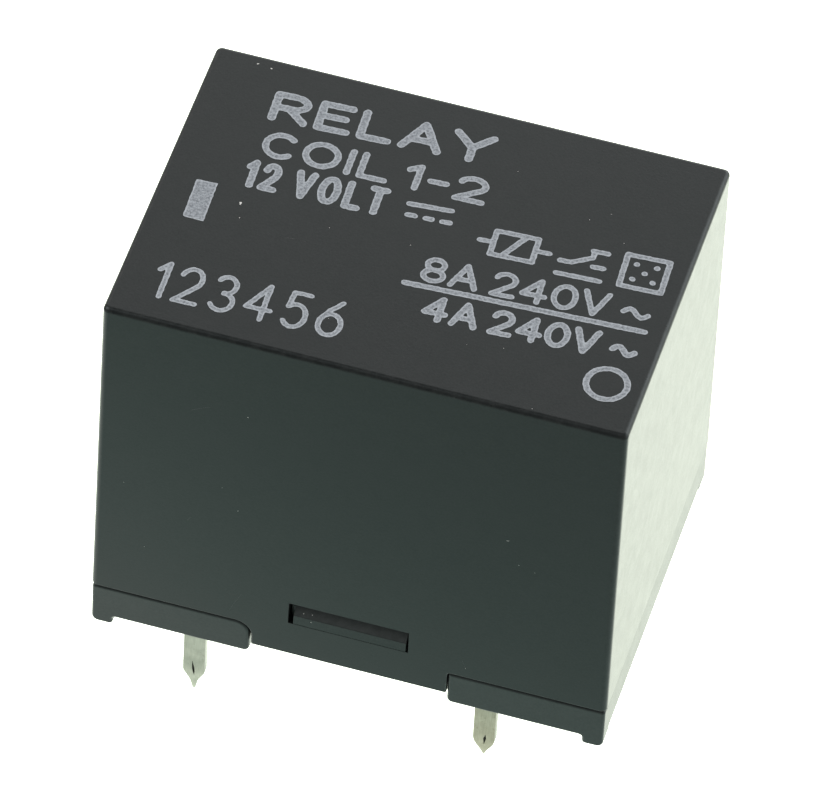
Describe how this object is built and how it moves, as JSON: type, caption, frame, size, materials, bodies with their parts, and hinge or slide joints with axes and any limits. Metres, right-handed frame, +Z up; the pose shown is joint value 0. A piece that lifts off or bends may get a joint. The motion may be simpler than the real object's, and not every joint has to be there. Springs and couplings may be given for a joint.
{
  "type": "pcb power relay",
  "caption": "Small cubic changeover power relay for a circuit board: black latched case on a moulded base, flat tinned pins, working coil, yoke and armature inside.",
  "frame": {"origin": "centre of the case's footprint on the seating plane, the plane of the four corner feet's undersides; the pins reach 4.72 mm below it", "axes": "+X along the long side, from the common pin's end to the contact pins' end; +Y across, away from the picture's camera; +Z up out of the board"},
  "size_m": [0.0222, 0.016, 0.0236],
  "materials": {
    "case_black": "satin black moulding with a fine spark texture",
    "base_black": "matt black moulding",
    "bobbin_plastic": "natural off-white moulding",
    "enamelled_copper": "enamelled copper wire, close wound",
    "relay_iron": "nickel plated soft iron",
    "core_iron": "turned soft iron",
    "spring_copper": "rolled copper alloy",
    "tinned_copper": "tinned copper alloy, slightly uneven",
    "contact_silver": "silver alloy contact",
    "rivet_copper": "copper rivet",
    "seal_resin": "dark cured resin"
  },
  "bodies": {
    "relay": {"case": "case_black", "base": "base_black", "bobbin": "bobbin_plastic", "coil_winding": "enamelled_copper", "coil_lead_front": "enamelled_copper", "coil_lead_back": "enamelled_copper", "core": "core_iron", "yoke": "relay_iron", "contact_no": "contact_silver", "contact_nc": "contact_silver", "terminal_no": "tinned_copper", "terminal_nc": "tinned_copper", "terminal_common": "tinned_copper", "coil_terminal_front": "tinned_copper", "coil_terminal_back": "tinned_copper", "spring_rivet_front": "rivet_copper", "spring_rivet_back": "rivet_copper", "pin_seal_coil_front": "seal_resin", "pin_seal_coil_back": "seal_resin", "pin_seal_no": "seal_resin", "pin_seal_nc": "seal_resin", "pin_seal_common": "seal_resin"},
    "armature": {"armature": "relay_iron", "moving_spring": "spring_copper", "moving_contact": "contact_silver", "armature_rivet_front": "rivet_copper", "armature_rivet_back": "rivet_copper"}
  },
  "joints": [
    {"name": "armature_pivot", "type": "hinge", "parent": "relay", "child": "armature", "pos_m": [-0.00835, 0, 0.01357], "axis": [0, 1, 0], "range_deg": [0, 2.45], "stiffness_Nm_per_rad": 0.004, "springref_deg": -5.73, "deforming": ["moving_spring"]}
  ]
}
